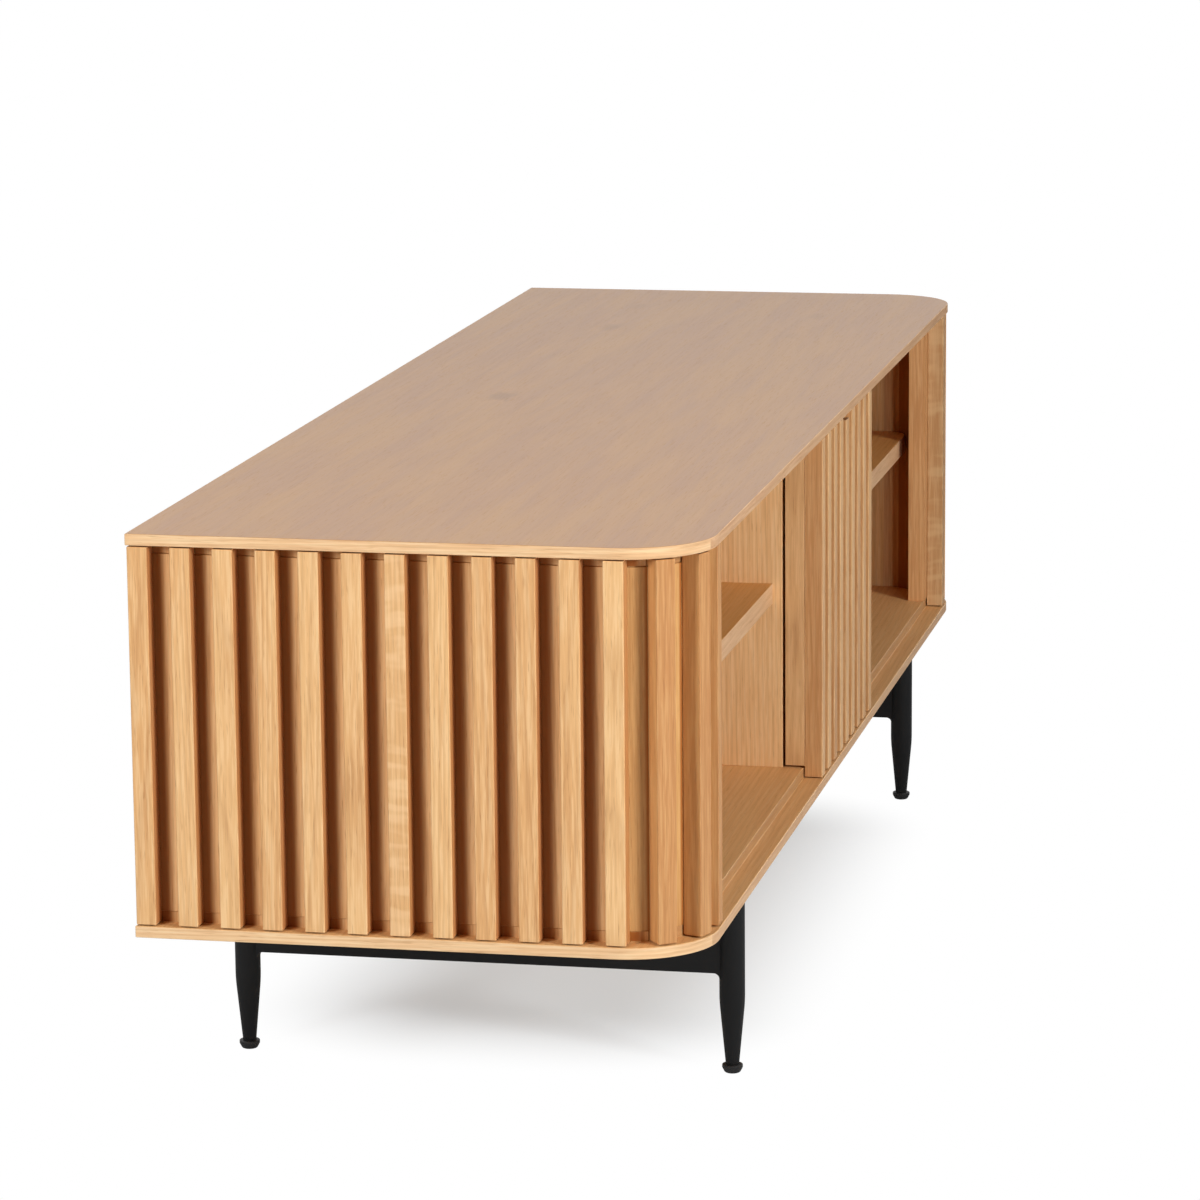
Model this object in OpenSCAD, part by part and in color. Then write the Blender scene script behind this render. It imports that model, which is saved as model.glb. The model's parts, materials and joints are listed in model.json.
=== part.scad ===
// Low media cabinet on a steel base: two rebated boards carry curved end panels clad in upright
// slats, two dividers make three bays, and one slatted door hangs from a track and slides along
// the front. Origin on the floor under the middle of the cabinet, front towards -Y.

/* [Cabinet] */
// Overall width, end to end
cab_w = 1450; // [1200:10:1800]
// Overall depth, front to back
cab_d = 450; // [370:5:560]
// Height of the body from the underside of the bottom board to the top
body_h = 320; // [260:5:400]
// Height of the underside of the bottom board above the floor
leg_h = 158; // [130:1:200]
// Radius of the two front corners, seen from above
corner_r = 70; // [58:1:90]

/* [Boards and panels] */
// Thickness of the top and bottom boards
board_t = 18; // [16:0.5:22]
// Thickness of the lip left by the rebate around the ends and front of both boards
lip_t = 9.2; // [7:0.1:9.5]
// Thickness of the curved end panels and of the board behind the door slats
panel_t = 17; // [14:0.5:18]
// Thickness of the dividers
divider_t = 18; // [18:0.5:22]
// Thickness of the shelves
shelf_t = 18; // [15:0.5:22]
// Height of the shelf tops above the inner floor
shelf_up = 164; // [120:1:190]
// Distance from the back of the door board line to the front edge of the shelves
shelf_set = 11; // [6:0.5:20]
// How far each end panel returns along the front past the start of its corner
return_w = 37; // [30:1:50]
// Thickness of the back panel
back_t = 6; // [4:0.5:8]
// Depth by which the back panel overlaps the boards and end panels
back_lap = 10; // [9:0.5:11]
// Distance from the back edges to the back panel
back_inset = 2; // [1:0.5:4]
// Radius of the cable holes
cable_r = 30; // [20:1:35]
// Height of the cable holes above the inner floor
cable_up = 50; // [45:1:90]

/* [Slats] */
// Width of a slat
slat_w = 16; // [12:0.5:20]
// Depth of a slat
slat_d = 16; // [12:0.5:18]
// Distance from the edge of the lips to the face of the slats
slat_inset = 1; // [0.5:0.5:3]
// Gap between the slat ends and the lips
slat_gap = 1; // [0.5:0.1:1.5]
// Distance from the back edges to the first slat
slat_edge = 1; // [0:0.5:4]
// Distance of the last flat-run slat's centre past the start of the corner
corner_start = 2; // [0:0.5:3]
// Distance of the front slat's centre past the end of the corner
corner_end = 12; // [10:0.5:16]
// Slats on each flat end
flat_slats = 12;
// Slats on each corner
corner_slats = 3;

/* [Door] */
// Width of the sliding door
door_w = 287.2; // [230:0.2:350]
// Number of slats on the door
door_slats = 9;
// Which door slat is cut short at the top, counted from the left
short_slat = 5; // [1:1:9]
// How much shorter it is
short_by = 4.4; // [0:0.1:6]
// Gap between the door and the front edges of the dividers
door_gap = 2.5; // [1.5:0.1:4]
// Gap above and below the door board
door_clear = 2; // [1.5:0.1:4]
// Gap left between the door and the end panel when it is fully open
stop_gap = 4.4; // [2:0.1:10]
// Outer width of the track
track_w = 12; // [11:0.5:14]
// Depth of the track, let in flush with the underside of the top board
track_h = 8; // [7:0.1:9]
// Wall of the track
track_wall = 1.2; // [1:0.1:1.5]
// Width of the slot along the underside of the track
track_slot = 5; // [4:0.1:6]
// Distance of each hanger from the middle of the door
hanger_x = 100; // [70:1:110]
// Length of a hanger's head
hanger_l = 36; // [24:1:44]
// Diameter of the glide buttons at the foot of the door
glide_d = 6; // [4:0.5:7]

/* [Base] */
// Distance from the middle of the cabinet to each leg frame
frame_x = 483; // [380:1:560]
// Distance of the leg centres from the front and back edges
leg_in = 21; // [20:1:60]
// Diameter of the straight part of a leg
leg_d = 21; // [18:0.5:26]
// Diameter of a leg at its tip
tip_d = 11; // [10:0.5:16]
// Height of the top of the taper above the floor
taper_z = 60; // [40:1:90]
// Height of the underside of the rail above the floor
rail_z = 84; // [60:1:100]
// Height of the rail
rail_h = 40; // [20:1:60]
// Thickness of the rail
rail_t = 12; // [8:1:18]
// Width of the mounting plate on top of each frame
plate_w = 60; // [50:1:90]
// Thickness of the mounting plate
plate_t = 4; // [3:0.5:6]
// Diameter of the foot discs at their shoulder
foot_d = 17; // [14:0.5:24]
// Diameter of the foot discs where they meet the floor
foot_base_d = 12.5; // [9:0.5:14]
// Height of the foot discs
foot_h = 7; // [5:0.5:10]
// Diameter of the foot stems
stem_d = 5; // [4:0.5:6]

/* [Hardware] */
// Diameter of the dowels
dowel_d = 8; // [6:1:8]
// Length of the dowels
dowel_l = 24; // [20:1:28]
// Radius of the back panel screws
back_screw_r = 1.75; // [1.5:0.05:2]
// Length of the back panel screws
back_screw_l = 25; // [20:1:30]
// Radius of the frame screws
frame_screw_r = 2.25; // [2:0.05:2.5]
// Length of the frame screws under the head
frame_screw_l = 16; // [14:1:18]

/* [Hidden] */
$fn = 64;
oak = "#d8b384";
pale_oak = "#e6c79c";
black = "#1b1b1c";
eps = 0.01;        // overlap of joined primitives
fit = 0.05;        // radial clearance of glued and screwed fits
run = 0.1;         // running clearance of the door's hardware

floor_z = leg_h + board_t;
top_z = leg_h + body_h;
ceil_z = top_z - board_t;
front = -cab_d / 2;
back = cab_d / 2;

// Plan of the ends, measured in from the edge of the lips
glue_in = slat_inset + slat_d;
step_in = glue_in + 1;
inner_in = glue_in + panel_t;
glue_r = corner_r - glue_in;
inner_r = corner_r - inner_in;
arc_x = cab_w / 2 - corner_r;
arc_y = front + corner_r;
return_x = arc_x - return_w;
inner_x = cab_w / 2 - inner_in;

// Spacing of the slats along the glue face, from the start of the corner
arc_len = glue_r * PI / 2;
flat_pitch = (back - slat_edge - slat_w / 2 - arc_y + corner_start) / (flat_slats - 1);
corner_pitch = (arc_len + corner_end - corner_start) / corner_slats;
end_slats = flat_slats + corner_slats;
slat_z = leg_h + lip_t + slat_gap;
slat_h = body_h - 2 * lip_t - 2 * slat_gap;

// Door and the pieces that line up with it
door_front = front + glue_in;
door_back = door_front + panel_t;
door_mid = (door_front + door_back) / 2;
door_pitch = (door_w - slat_w) / (door_slats - 1);
door_z = floor_z + door_clear;
door_top = ceil_z - door_clear;
door_travel = return_x - door_w / 2 - stop_gap;
divider_y = door_back + door_gap;
divider_x = door_w / 2 - divider_t / 2;
shelf_front = door_back + shelf_set;
shelf_r = inner_r - shelf_set;
shelf_z = floor_z + shelf_up;
hanger_w = track_w - 2 * track_wall - 4 * run;
hanger_head = track_h - 2 * track_wall - 4 * run;
block_l = hanger_l - 6;
block_w = 9;
block_h = 12;
stem_w = track_slot - 4 * run;
track_l = 2 * (return_x - 6);
stop_x = hanger_x + hanger_l / 2 + door_travel;
glide_z = (slat_z + floor_z) / 2;
glide_in = 3;
glide_out = step_in - glue_in - 2 * run;

// Back panel
back_y = back - back_inset - back_t;
back_w = 2 * (inner_x + back_lap);
cable_x = [-(divider_x + inner_x) / 2, 0, (divider_x + inner_x) / 2];

// Dowels: ten into a board, the rest into an upright; eight into an upright beside a shelf
dowel_in_board = 10;
dowel_in_side = 8;
panel_mid_x = inner_x + panel_t / 2;
end_dowel_y = [arc_y + 35, (arc_y + back_y) / 2, back_y - 30];
divider_dowel_y = [divider_y + 30, (divider_y + back_y) / 2, back_y - 30];
dowel_plan = concat(
    [for (y = end_dowel_y) [panel_mid_x, y]],
    [[arc_x - return_w / 2, door_mid]],
    [for (y = divider_dowel_y) [divider_x, y]]);
shelf_dowel_y = [shelf_front + 60, back_y - 60];
shelf_mid_z = shelf_z - shelf_t / 2;

// Screws through the back panel: rows along the boards, pairs up the dividers and end panels
row_x = [inner_x - 40, (inner_x + divider_x) / 2 + 30, divider_x + 60, divider_x - 50];
lap_z = back_lap / 2;
rise = ceil_z - floor_z;
upright_screw_up = 70;
upright_z = [floor_z + upright_screw_up, ceil_z - upright_screw_up];
back_screw_xz = concat(
    [for (x = row_x, z = [floor_z - lap_z, ceil_z + lap_z]) [x, z]],
    [for (x = [divider_x, inner_x + back_lap / 2], z = upright_z) [x, z]]);
screw_head = 2;    // head radius over shank radius

// Leg frames
leg_y = [front + leg_in, back - leg_in];
plate_l = leg_y[1] - leg_y[0] + leg_d + 10;
plate_z = leg_h - plate_t;
weld_r = 5;
stem_l = 18;
screw_edge = 10;
screw_end = 36;
frame_screw_x = plate_w / 2 - screw_edge;
frame_screw_y = plate_l / 2 - screw_end;
frame_screw_xy = [for (x = [-1, 1], y = [-1, 0, 1]) [x * frame_screw_x, y * frame_screw_y]];

function two_digits(i) = str(i < 10 ? "0" : "", i);

// ---- plans and placing ----

// Outline of the cabinet from above, moved in from the ends and front
module plan(inset) {
    r = corner_r - inset;
    half = cab_w / 2 - inset;
    translate([-arc_x, front + inset]) square([2 * arc_x, cab_d - inset]);
    translate([-half, arc_y]) square([2 * half, back - arc_y]);
    for (s = [-1, 1]) translate([s * arc_x, arc_y]) circle(r);
}

// The cabinet's outline is cut where the right end panel's return stops
module right_end_plan(inset) {
    intersection() {
        plan(inset);
        translate([return_x, front]) square([cab_w, cab_d]);
    }
}

module both_sides() {
    children();
    mirror([1, 0, 0]) children();
}

// Puts a slat's glue face on the right end panel, its outward normal along the slat's +X
module on_end_panel(i) {
    s = corner_start + (i - flat_slats) * corner_pitch;
    a = s / glue_r * 180 / PI;
    if (i <= flat_slats)
        translate([arc_x + glue_r, back - slat_edge - slat_w / 2 - (i - 1) * flat_pitch]) children();
    else if (s < arc_len)
        translate([arc_x, arc_y]) rotate(-a) translate([glue_r, 0]) children();
    else
        translate([arc_x - (s - arc_len), front + glue_in]) rotate(-90) children();
}

// ---- bores shared by the pieces they join ----

module dowel(l, r, chamfer = 0) {
    cylinder(h = l - 2 * chamfer, r = r, center = true);
    for (s = [0, 1]) mirror([0, 0, s])
        translate([0, 0, l / 2 - chamfer - eps]) cylinder(h = chamfer + eps, r1 = r, r2 = r - chamfer);
}

// Every dowel's place; children are centred on the dowel, which lies along Z
module at_dowels() {
    up = dowel_l / 2 - dowel_in_board;
    along = dowel_l / 2 - dowel_in_side;
    both_sides() {
        for (p = dowel_plan) {
            translate([p[0], p[1], floor_z + up]) children();
            translate([p[0], p[1], ceil_z - up]) children();
        }
        for (y = shelf_dowel_y) {
            translate([divider_x + divider_t / 2 + along, y, shelf_mid_z]) rotate([0, 90, 0]) children();
            translate([divider_x - divider_t / 2 - along, y, shelf_mid_z]) rotate([0, 90, 0]) children();
            translate([inner_x - along, y, shelf_mid_z]) rotate([0, 90, 0]) children();
        }
    }
}

module dowel_bores() {
    at_dowels() cylinder(h = dowel_l + 0.6, r = dowel_d / 2 + fit, center = true);
}

// Children's +Z points out of the back of the cabinet, their origin on the back panel's outer face
module at_back_screws() {
    both_sides()
        for (p = back_screw_xz) translate([p[0], back_y + back_t, p[1]]) rotate([-90, 0, 0]) children();
}

// Countersunk screw with its head at the origin and its tip down -Z
module countersunk(r, l, grow = 0) {
    head = r + screw_head;
    translate([0, 0, -screw_head]) cylinder(h = screw_head + grow, r1 = r + grow, r2 = head + 2 * grow);
    translate([0, 0, -l]) cylinder(h = l - screw_head + eps, r = r + grow);
}

module back_screw_bores() {
    at_back_screws() countersunk(back_screw_r, back_screw_l + 0.5, fit);
}

module at_frame_screws() {
    both_sides()
        for (p = frame_screw_xy) translate([frame_x + p[0], p[1], plate_z]) children();
}

// ---- boards ----

// A board with its rebated side up: lip below, raised middle above
module rebated_board() {
    linear_extrude(lip_t + eps) plan(0);
    translate([0, 0, lip_t]) linear_extrude(board_t - lip_t) plan(step_in);
}

module back_rebate() {
    translate([-back_w / 2, back_y, board_t - back_lap])
        cube([back_w, back - back_y + 1, back_lap + 1]);
}

module top_board() {
    color(oak) difference() {
        translate([0, 0, top_z]) mirror([0, 0, 1]) difference() {
            rebated_board();
            back_rebate();
        }
        translate([-track_l / 2 - fit, door_mid - track_w / 2 - fit, ceil_z - 1])
            cube([track_l + 2 * fit, track_w + 2 * fit, track_h + 1]);
        dowel_bores();
        back_screw_bores();
    }
}

module bottom_board() {
    color(oak) difference() {
        translate([0, 0, leg_h]) difference() {
            rebated_board();
            back_rebate();
        }
        dowel_bores();
        back_screw_bores();
        at_frame_screws() cylinder(h = frame_screw_l + 0.5, r = frame_screw_r + fit);
    }
}

// ---- uprights, shelves and back ----

module right_end_panel() {
    color(oak) difference() {
        translate([0, 0, floor_z]) linear_extrude(rise) difference() {
            right_end_plan(glue_in);
            right_end_plan(inner_in);
        }
        translate([inner_x - 1, back_y, floor_z - 1])
            cube([back_lap + 1, back - back_y + 1, rise + 2]);
        dowel_bores();
        back_screw_bores();
    }
}

module left_end_panel() {
    mirror([1, 0, 0]) right_end_panel();
}

module right_divider() {
    color(oak) difference() {
        translate([divider_x - divider_t / 2, divider_y, floor_z])
            cube([divider_t, back_y - divider_y, rise]);
        dowel_bores();
        back_screw_bores();
    }
}

module left_divider() {
    mirror([1, 0, 0]) right_divider();
}

// The side shelf's outer front corner follows the curve of the end panel
module right_shelf() {
    x0 = divider_x + divider_t / 2;
    color(oak) difference() {
        translate([0, 0, shelf_z - shelf_t]) linear_extrude(shelf_t) {
            translate([x0, shelf_front]) square([inner_x - shelf_r - x0, back_y - 1 - shelf_front]);
            translate([x0, shelf_front + shelf_r])
                square([inner_x - x0, back_y - 1 - shelf_front - shelf_r]);
            translate([inner_x - shelf_r, shelf_front + shelf_r]) circle(shelf_r);
        }
        dowel_bores();
    }
}

module left_shelf() {
    mirror([1, 0, 0]) right_shelf();
}

module centre_shelf() {
    w = 2 * divider_x - divider_t;
    color(oak) difference() {
        translate([-w / 2, shelf_front, shelf_z - shelf_t])
            cube([w, back_y - 1 - shelf_front, shelf_t]);
        dowel_bores();
    }
}

module back_panel() {
    slack = 2 * run;
    color(oak) difference() {
        translate([-back_w / 2 + slack, back_y, floor_z - back_lap + slack])
            cube([back_w - 2 * slack, back_t, rise + 2 * back_lap - 2 * slack]);
        for (x = cable_x) translate([x, back_y - 1, floor_z + cable_up])
            rotate([-90, 0, 0]) cylinder(h = back_t + 2, r = cable_r, $fn = 96);
        back_screw_bores();
    }
}

// ---- slats ----

module slat_bar(depth) {
    translate([-depth, -slat_w / 2, slat_z]) cube([slat_d + depth, slat_w, slat_h]);
}

// Slats on the curve are hollowed at the back to sit on the panel
module right_slat(i) {
    color(pale_oak) if (i <= flat_slats || i == end_slats)
        on_end_panel(i) slat_bar(0);
    else
        difference() {
            on_end_panel(i) slat_bar(2);
            translate([arc_x, arc_y, slat_z - 1]) cylinder(h = slat_h + 2, r = glue_r, $fn = 128);
        }
}

module left_slat(i) {
    mirror([1, 0, 0]) right_slat(i);
}

// ---- door ----

module at_hangers() {
    for (s = [-1, 1]) translate([s * hanger_x, door_mid, door_top]) children();
}

module door_board() {
    color(oak) difference() {
        translate([-door_w / 2, door_front, door_z]) cube([door_w, panel_t, door_top - door_z]);
        at_hangers() translate([-block_l / 2 - fit, -block_w / 2 - fit, -block_h])
            cube([block_l + 2 * fit, block_w + 2 * fit, block_h + 1]);
    }
}

// Slats that carry a glide button are drilled for it
module at_glides() {
    for (s = [-1, 1]) translate([s * (door_w / 2 - slat_w / 2 - door_pitch), door_front, glide_z])
        rotate([-90, 0, 0]) children();
}

module door_slat(i) {
    x = -door_w / 2 + (i - 1) * door_pitch;
    h = slat_h - (i == short_slat ? short_by : 0);
    color(pale_oak) difference() {
        translate([x, front + slat_inset, slat_z]) cube([slat_w, slat_d, h]);
        at_glides() translate([0, 0, -glide_in]) cylinder(h = glide_in + 1, r = glide_d / 2 + fit);
    }
}

module door_glides() {
    color("white") at_glides()
        translate([0, 0, -glide_in]) cylinder(h = glide_in + glide_out, r = glide_d / 2);
}

// The head rides in the track, the block is held in the top edge of the door board
module door_hangers() {
    head_z = door_clear + track_wall + run;
    color("white") at_hangers() {
        translate([-hanger_l / 2, -hanger_w / 2, head_z]) cube([hanger_l, hanger_w, hanger_head]);
        translate([-block_l / 2, -stem_w / 2, -eps]) cube([block_l, stem_w, head_z + 2 * eps]);
        translate([-block_l / 2, -block_w / 2, -block_h]) cube([block_l, block_w, block_h]);
    }
}

// Slotted channel, closed by a plug at each end where the hangers stop
module door_track() {
    inner_w = track_w - 2 * track_wall;
    inner_h = track_h - 2 * track_wall;
    color("silver") translate([0, door_mid, ceil_z]) {
        rotate([90, 0, 90]) linear_extrude(track_l, center = true) difference() {
            translate([-track_w / 2, 0]) square([track_w, track_h]);
            translate([-inner_w / 2, track_wall]) square([inner_w, inner_h]);
            translate([-track_slot / 2, -1]) square([track_slot, track_wall + 2]);
        }
        both_sides() translate([stop_x + run, -track_w / 2 + track_wall - eps, track_wall - eps])
            cube([track_l / 2 - stop_x - run, inner_w + 2 * eps, inner_h + 2 * eps]);
    }
}

// ---- base ----

module leg() {
    difference() {
        union() {
            translate([0, 0, taper_z]) cylinder(h = plate_z - taper_z + eps, d = leg_d);
            translate([0, 0, foot_h]) cylinder(h = taper_z - foot_h + eps, d1 = tip_d, d2 = leg_d);
        }
        translate([0, 0, foot_h - 1]) cylinder(h = stem_l + 1.5, r = stem_d / 2 + fit);
    }
}

// Weld fillet in the corner between the rail and a leg, drawn in the YZ plane at the origin
module weld_fillet() {
    rotate([90, 0, 90]) linear_extrude(rail_t, center = true) difference() {
        translate([-weld_r, -weld_r]) square([2 * weld_r, 2 * weld_r]);
        translate([weld_r, -weld_r]) circle(weld_r);
        translate([0, -weld_r - 1]) square([weld_r + 1, 1]);
    }
}

// Two legs, the rail between them and the mounting plate, welded into one frame
module right_leg_frame() {
    color(black) difference() {
        union() {
            for (y = leg_y) translate([frame_x, y, 0]) leg();
            translate([frame_x - rail_t / 2, leg_y[0], rail_z])
                cube([rail_t, leg_y[1] - leg_y[0], rail_h]);
            translate([frame_x, leg_y[0] + leg_d / 2, rail_z]) weld_fillet();
            translate([frame_x, leg_y[1] - leg_d / 2, rail_z]) mirror([0, 1, 0]) weld_fillet();
            translate([frame_x - plate_w / 2, -plate_l / 2, plate_z]) cube([plate_w, plate_l, plate_t]);
        }
        at_frame_screws() translate([0, 0, -1]) cylinder(h = plate_t + 2, r = frame_screw_r + 0.3);
    }
}

module left_leg_frame() {
    mirror([1, 0, 0]) right_leg_frame();
}

// Turned foot: a bowl that widens to a shoulder, chamfered above, with a stem up into the leg
module foot_glides() {
    chamfer = 1.5;
    shoulder = 1.2;
    bowl = foot_h - chamfer - shoulder;
    color(black) both_sides() for (y = leg_y) translate([frame_x, y, 0]) rotate_extrude() polygon([
        [0, 0],
        [foot_base_d / 2, 0],
        [foot_d / 2 - 0.8, bowl * 0.6],
        [foot_d / 2, bowl],
        [foot_d / 2, bowl + shoulder],
        [foot_d / 2 - chamfer, foot_h],
        [stem_d / 2, foot_h],
        [stem_d / 2, foot_h + stem_l],
        [0, foot_h + stem_l]]);
}

// ---- fastenings ----

module dowels() {
    color("burlywood") at_dowels() dowel(dowel_l, dowel_d / 2, 0.8);
}

module cross_recess(size, deep) {
    for (a = [0, 90]) rotate(a) translate([-size / 2, -size / 10, -deep]) cube([size, size / 5, deep + 1]);
}

module back_screws() {
    color("dimgray") at_back_screws() difference() {
        countersunk(back_screw_r, back_screw_l);
        cross_recess(3.6, 1.4);
    }
}

module frame_screws() {
    head_r = 2 * frame_screw_r;
    color("dimgray") at_frame_screws() difference() {
        union() {
            translate([0, 0, -2.6]) cylinder(h = 2.6, r1 = head_r - 0.8, r2 = head_r);
            translate([0, 0, -eps]) cylinder(h = frame_screw_l, r = frame_screw_r);
        }
        translate([0, 0, -2.6]) mirror([0, 0, 1]) cross_recess(4.4, 1.5);
    }
}

top_board();
bottom_board();
left_end_panel();
right_end_panel();
back_panel();
left_divider();
right_divider();
left_shelf();
centre_shelf();
right_shelf();
door_board();
door_track();
door_hangers();
door_glides();
left_leg_frame();
right_leg_frame();
foot_glides();
dowels();
back_screws();
frame_screws();
for (i = [1:end_slats]) {
    left_slat(i);
    right_slat(i);
}
for (i = [1:door_slats])
    door_slat(i);
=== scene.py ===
# %% [markdown]
# # A low oak media cabinet
# The cabinet is two stepped boards with upright slats between them, a slatted door that slides
# along the front, and a black steel base. The frame gives every part's place, so this lesson only
# has to make the parts look right: softened edges, real grain and a calm studio.
#
# Lengths are in metres. +X runs along the cabinet, the front faces -Y and +Z is up.

# %% The frame
import json
import math
import random

import bmesh
import bpy
from mathutils import Matrix, Vector


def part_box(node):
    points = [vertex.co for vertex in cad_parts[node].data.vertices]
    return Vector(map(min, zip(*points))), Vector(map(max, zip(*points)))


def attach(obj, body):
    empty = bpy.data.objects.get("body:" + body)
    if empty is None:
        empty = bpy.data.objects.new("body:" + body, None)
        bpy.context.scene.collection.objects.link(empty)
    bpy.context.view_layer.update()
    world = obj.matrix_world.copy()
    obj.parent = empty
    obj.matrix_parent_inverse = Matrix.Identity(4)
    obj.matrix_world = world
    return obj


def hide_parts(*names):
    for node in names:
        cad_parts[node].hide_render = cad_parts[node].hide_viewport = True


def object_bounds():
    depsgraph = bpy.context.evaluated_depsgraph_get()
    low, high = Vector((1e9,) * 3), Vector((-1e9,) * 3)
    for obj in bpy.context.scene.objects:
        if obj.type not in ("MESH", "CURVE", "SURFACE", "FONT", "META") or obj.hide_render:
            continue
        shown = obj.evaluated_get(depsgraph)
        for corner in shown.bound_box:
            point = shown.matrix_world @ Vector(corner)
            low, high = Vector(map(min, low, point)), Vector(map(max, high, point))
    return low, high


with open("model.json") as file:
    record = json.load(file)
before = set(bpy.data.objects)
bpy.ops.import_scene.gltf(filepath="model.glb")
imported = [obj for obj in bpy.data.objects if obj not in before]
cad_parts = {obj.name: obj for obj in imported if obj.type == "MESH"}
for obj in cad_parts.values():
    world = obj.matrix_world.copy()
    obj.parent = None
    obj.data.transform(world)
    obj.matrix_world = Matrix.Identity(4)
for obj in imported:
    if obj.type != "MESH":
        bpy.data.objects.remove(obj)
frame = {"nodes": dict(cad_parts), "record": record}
frame_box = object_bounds()
MM = 0.001
print("frame box", [tuple(round(v, 4) for v in corner) for corner in frame_box])

# %% [markdown]
# ## The camera
# The view is from the left end, a little in front and above, with a long lens. A camera looks down
# its own -Z, so the three columns of its matrix are its right, its up and the way back to the eye.
# Yaw, tilt and roll give those three directions one after the other.

# %% Camera
EYE = Vector((-4.25136, -0.88002, 1.15033))
YAW = math.radians(78.262)
TILT = math.radians(-11.189)
ROLL = math.radians(-0.508)
LENS = 146.26
SENSOR = 36


def add_camera():
    level_ahead = Vector((math.sin(YAW), math.cos(YAW), 0))
    level_right = Vector((math.cos(YAW), -math.sin(YAW), 0))
    ahead = math.cos(TILT) * level_ahead + Vector((0, 0, math.sin(TILT)))
    level_up = level_right.cross(ahead)
    right = math.cos(ROLL) * level_right + math.sin(ROLL) * level_up
    up = math.cos(ROLL) * level_up - math.sin(ROLL) * level_right
    turn = Matrix((right, up, -ahead)).transposed().to_4x4()
    data = bpy.data.cameras.new("studio_camera")
    data.lens = LENS
    data.sensor_width = SENSOR
    camera = bpy.data.objects.new("studio_camera", data)
    camera.matrix_world = Matrix.Translation(EYE) @ turn
    bpy.context.scene.collection.objects.link(camera)
    bpy.context.scene.camera = camera
    return camera


camera = add_camera()
print("camera", [round(v, 3) for v in camera.location], "lens", LENS)

# %% [markdown]
# ## Bench tools
# Every part starts as a block or a cylinder at its own size and place. Its place is then applied,
# which leaves the object at the origin, so that grain set out in object coordinates stays put.

# %% Blocks
def only(piece):
    """Select this piece and nothing else."""
    bpy.ops.object.select_all(action="DESELECT")
    piece.select_set(True)
    bpy.context.view_layer.objects.active = piece


def settle(piece, name):
    """Name a new piece and move its place from the object into the mesh."""
    only(piece)
    bpy.ops.object.transform_apply(location=True, rotation=True, scale=True)
    piece.name = name
    piece.data.name = name
    return piece


def block(name, low, high):
    bpy.ops.object.select_all(action="DESELECT")
    centre = [(a + b) / 2 for a, b in zip(low, high)]
    size = [b - a for a, b in zip(low, high)]
    bpy.ops.mesh.primitive_cube_add(size=1, location=centre, scale=size)
    return settle(bpy.context.object, name)


print("blocks ready")

# %% [markdown]
# Edit-mode operators act on whatever is selected. With no mouse, two small helpers select faces and
# edges by where they are and which way they point. A direction's share above 0.9 counts as along an
# axis, and one below 0.1 as across it.

# %% Picking faces and edges
def pick_faces(piece, wanted):
    """Select the faces whose middle and normal pass the test, in edit mode."""
    bpy.ops.mesh.select_mode(type="FACE")
    bpy.ops.mesh.select_all(action="DESELECT")
    mesh = bmesh.from_edit_mesh(piece.data)
    for face in mesh.faces:
        face.select_set(wanted(face.calc_center_median(), face.normal))
    mesh.select_flush_mode()
    bmesh.update_edit_mesh(piece.data)


def pick_edges(piece, wanted):
    """Select the edges whose middle and direction pass the test, in edit mode."""
    bpy.ops.mesh.select_mode(type="EDGE")
    bpy.ops.mesh.select_all(action="DESELECT")
    mesh = bmesh.from_edit_mesh(piece.data)
    for edge in mesh.edges:
        a, b = (v.co for v in edge.verts)
        edge.select_set(wanted((a + b) / 2, (b - a).normalized()))
    mesh.select_flush_mode()
    bmesh.update_edit_mesh(piece.data)


print("picking ready")

# %% [markdown]
# A narrow bevel takes the sharpness off, as sanding does, and a boolean cuts a rebate or a groove.
# Smooth shading with weighted normals then lets the bevels catch the light while the broad faces
# stay flat.

# %% Sanding, cutting and smoothing
SHARP = math.radians(40)
ROUND = math.radians(50)


def sand(piece, width, segments=2):
    """Ease every sharp edge by this width."""
    only(piece)
    bevel = piece.modifiers.new("arris", "BEVEL")
    bevel.width = width
    bevel.segments = segments
    bevel.limit_method = "ANGLE"
    bevel.angle_limit = SHARP
    bpy.ops.object.modifier_apply(modifier=bevel.name)


def cut(piece, low, high):
    """Cut away the box between two corners."""
    cutter = block("cutter", low, high)
    only(piece)
    saw = piece.modifiers.new("cut", "BOOLEAN")
    saw.operation = "DIFFERENCE"
    saw.object = cutter
    bpy.ops.object.modifier_apply(modifier=saw.name)
    bpy.data.objects.remove(cutter)


def smooth(piece):
    """Smooth the rounded edges and keep the broad faces flat."""
    only(piece)
    bpy.ops.object.shade_smooth_by_angle(angle=ROUND)
    level = piece.modifiers.new("level", "WEIGHTED_NORMAL")
    level.keep_sharp = True
    level.weight = 100
    bpy.ops.object.modifier_apply(modifier=level.name)


print("sanding, cutting and smoothing ready")

# %% [markdown]
# ## Shader arithmetic
# A wood shader is mostly sums: rings added to noise, masks multiplied together. A small class wraps
# a socket and turns +, - and * into Math nodes, so the recipe reads as a formula.

# %% A value on a wire
class Wire:
    """A value travelling through a finish. Arithmetic on it adds Math nodes."""

    def __init__(self, finish, socket):
        self.finish = finish
        self.socket = socket

    def __add__(self, other):
        return self.finish.maths("ADD", self, other)

    def __sub__(self, other):
        return self.finish.maths("SUBTRACT", self, other)

    def __rsub__(self, other):
        return self.finish.maths("SUBTRACT", other, self)

    def __mul__(self, other):
        return self.finish.maths("MULTIPLY", self, other)

    __radd__ = __add__
    __rmul__ = __mul__


print("wires take +, - and *")

# %% [markdown]
# A second class holds one material. Every node comes from its node method, which takes the type,
# the settings and the sockets' values or links. The others are short names for the nodes that the
# wood uses most.

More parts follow.
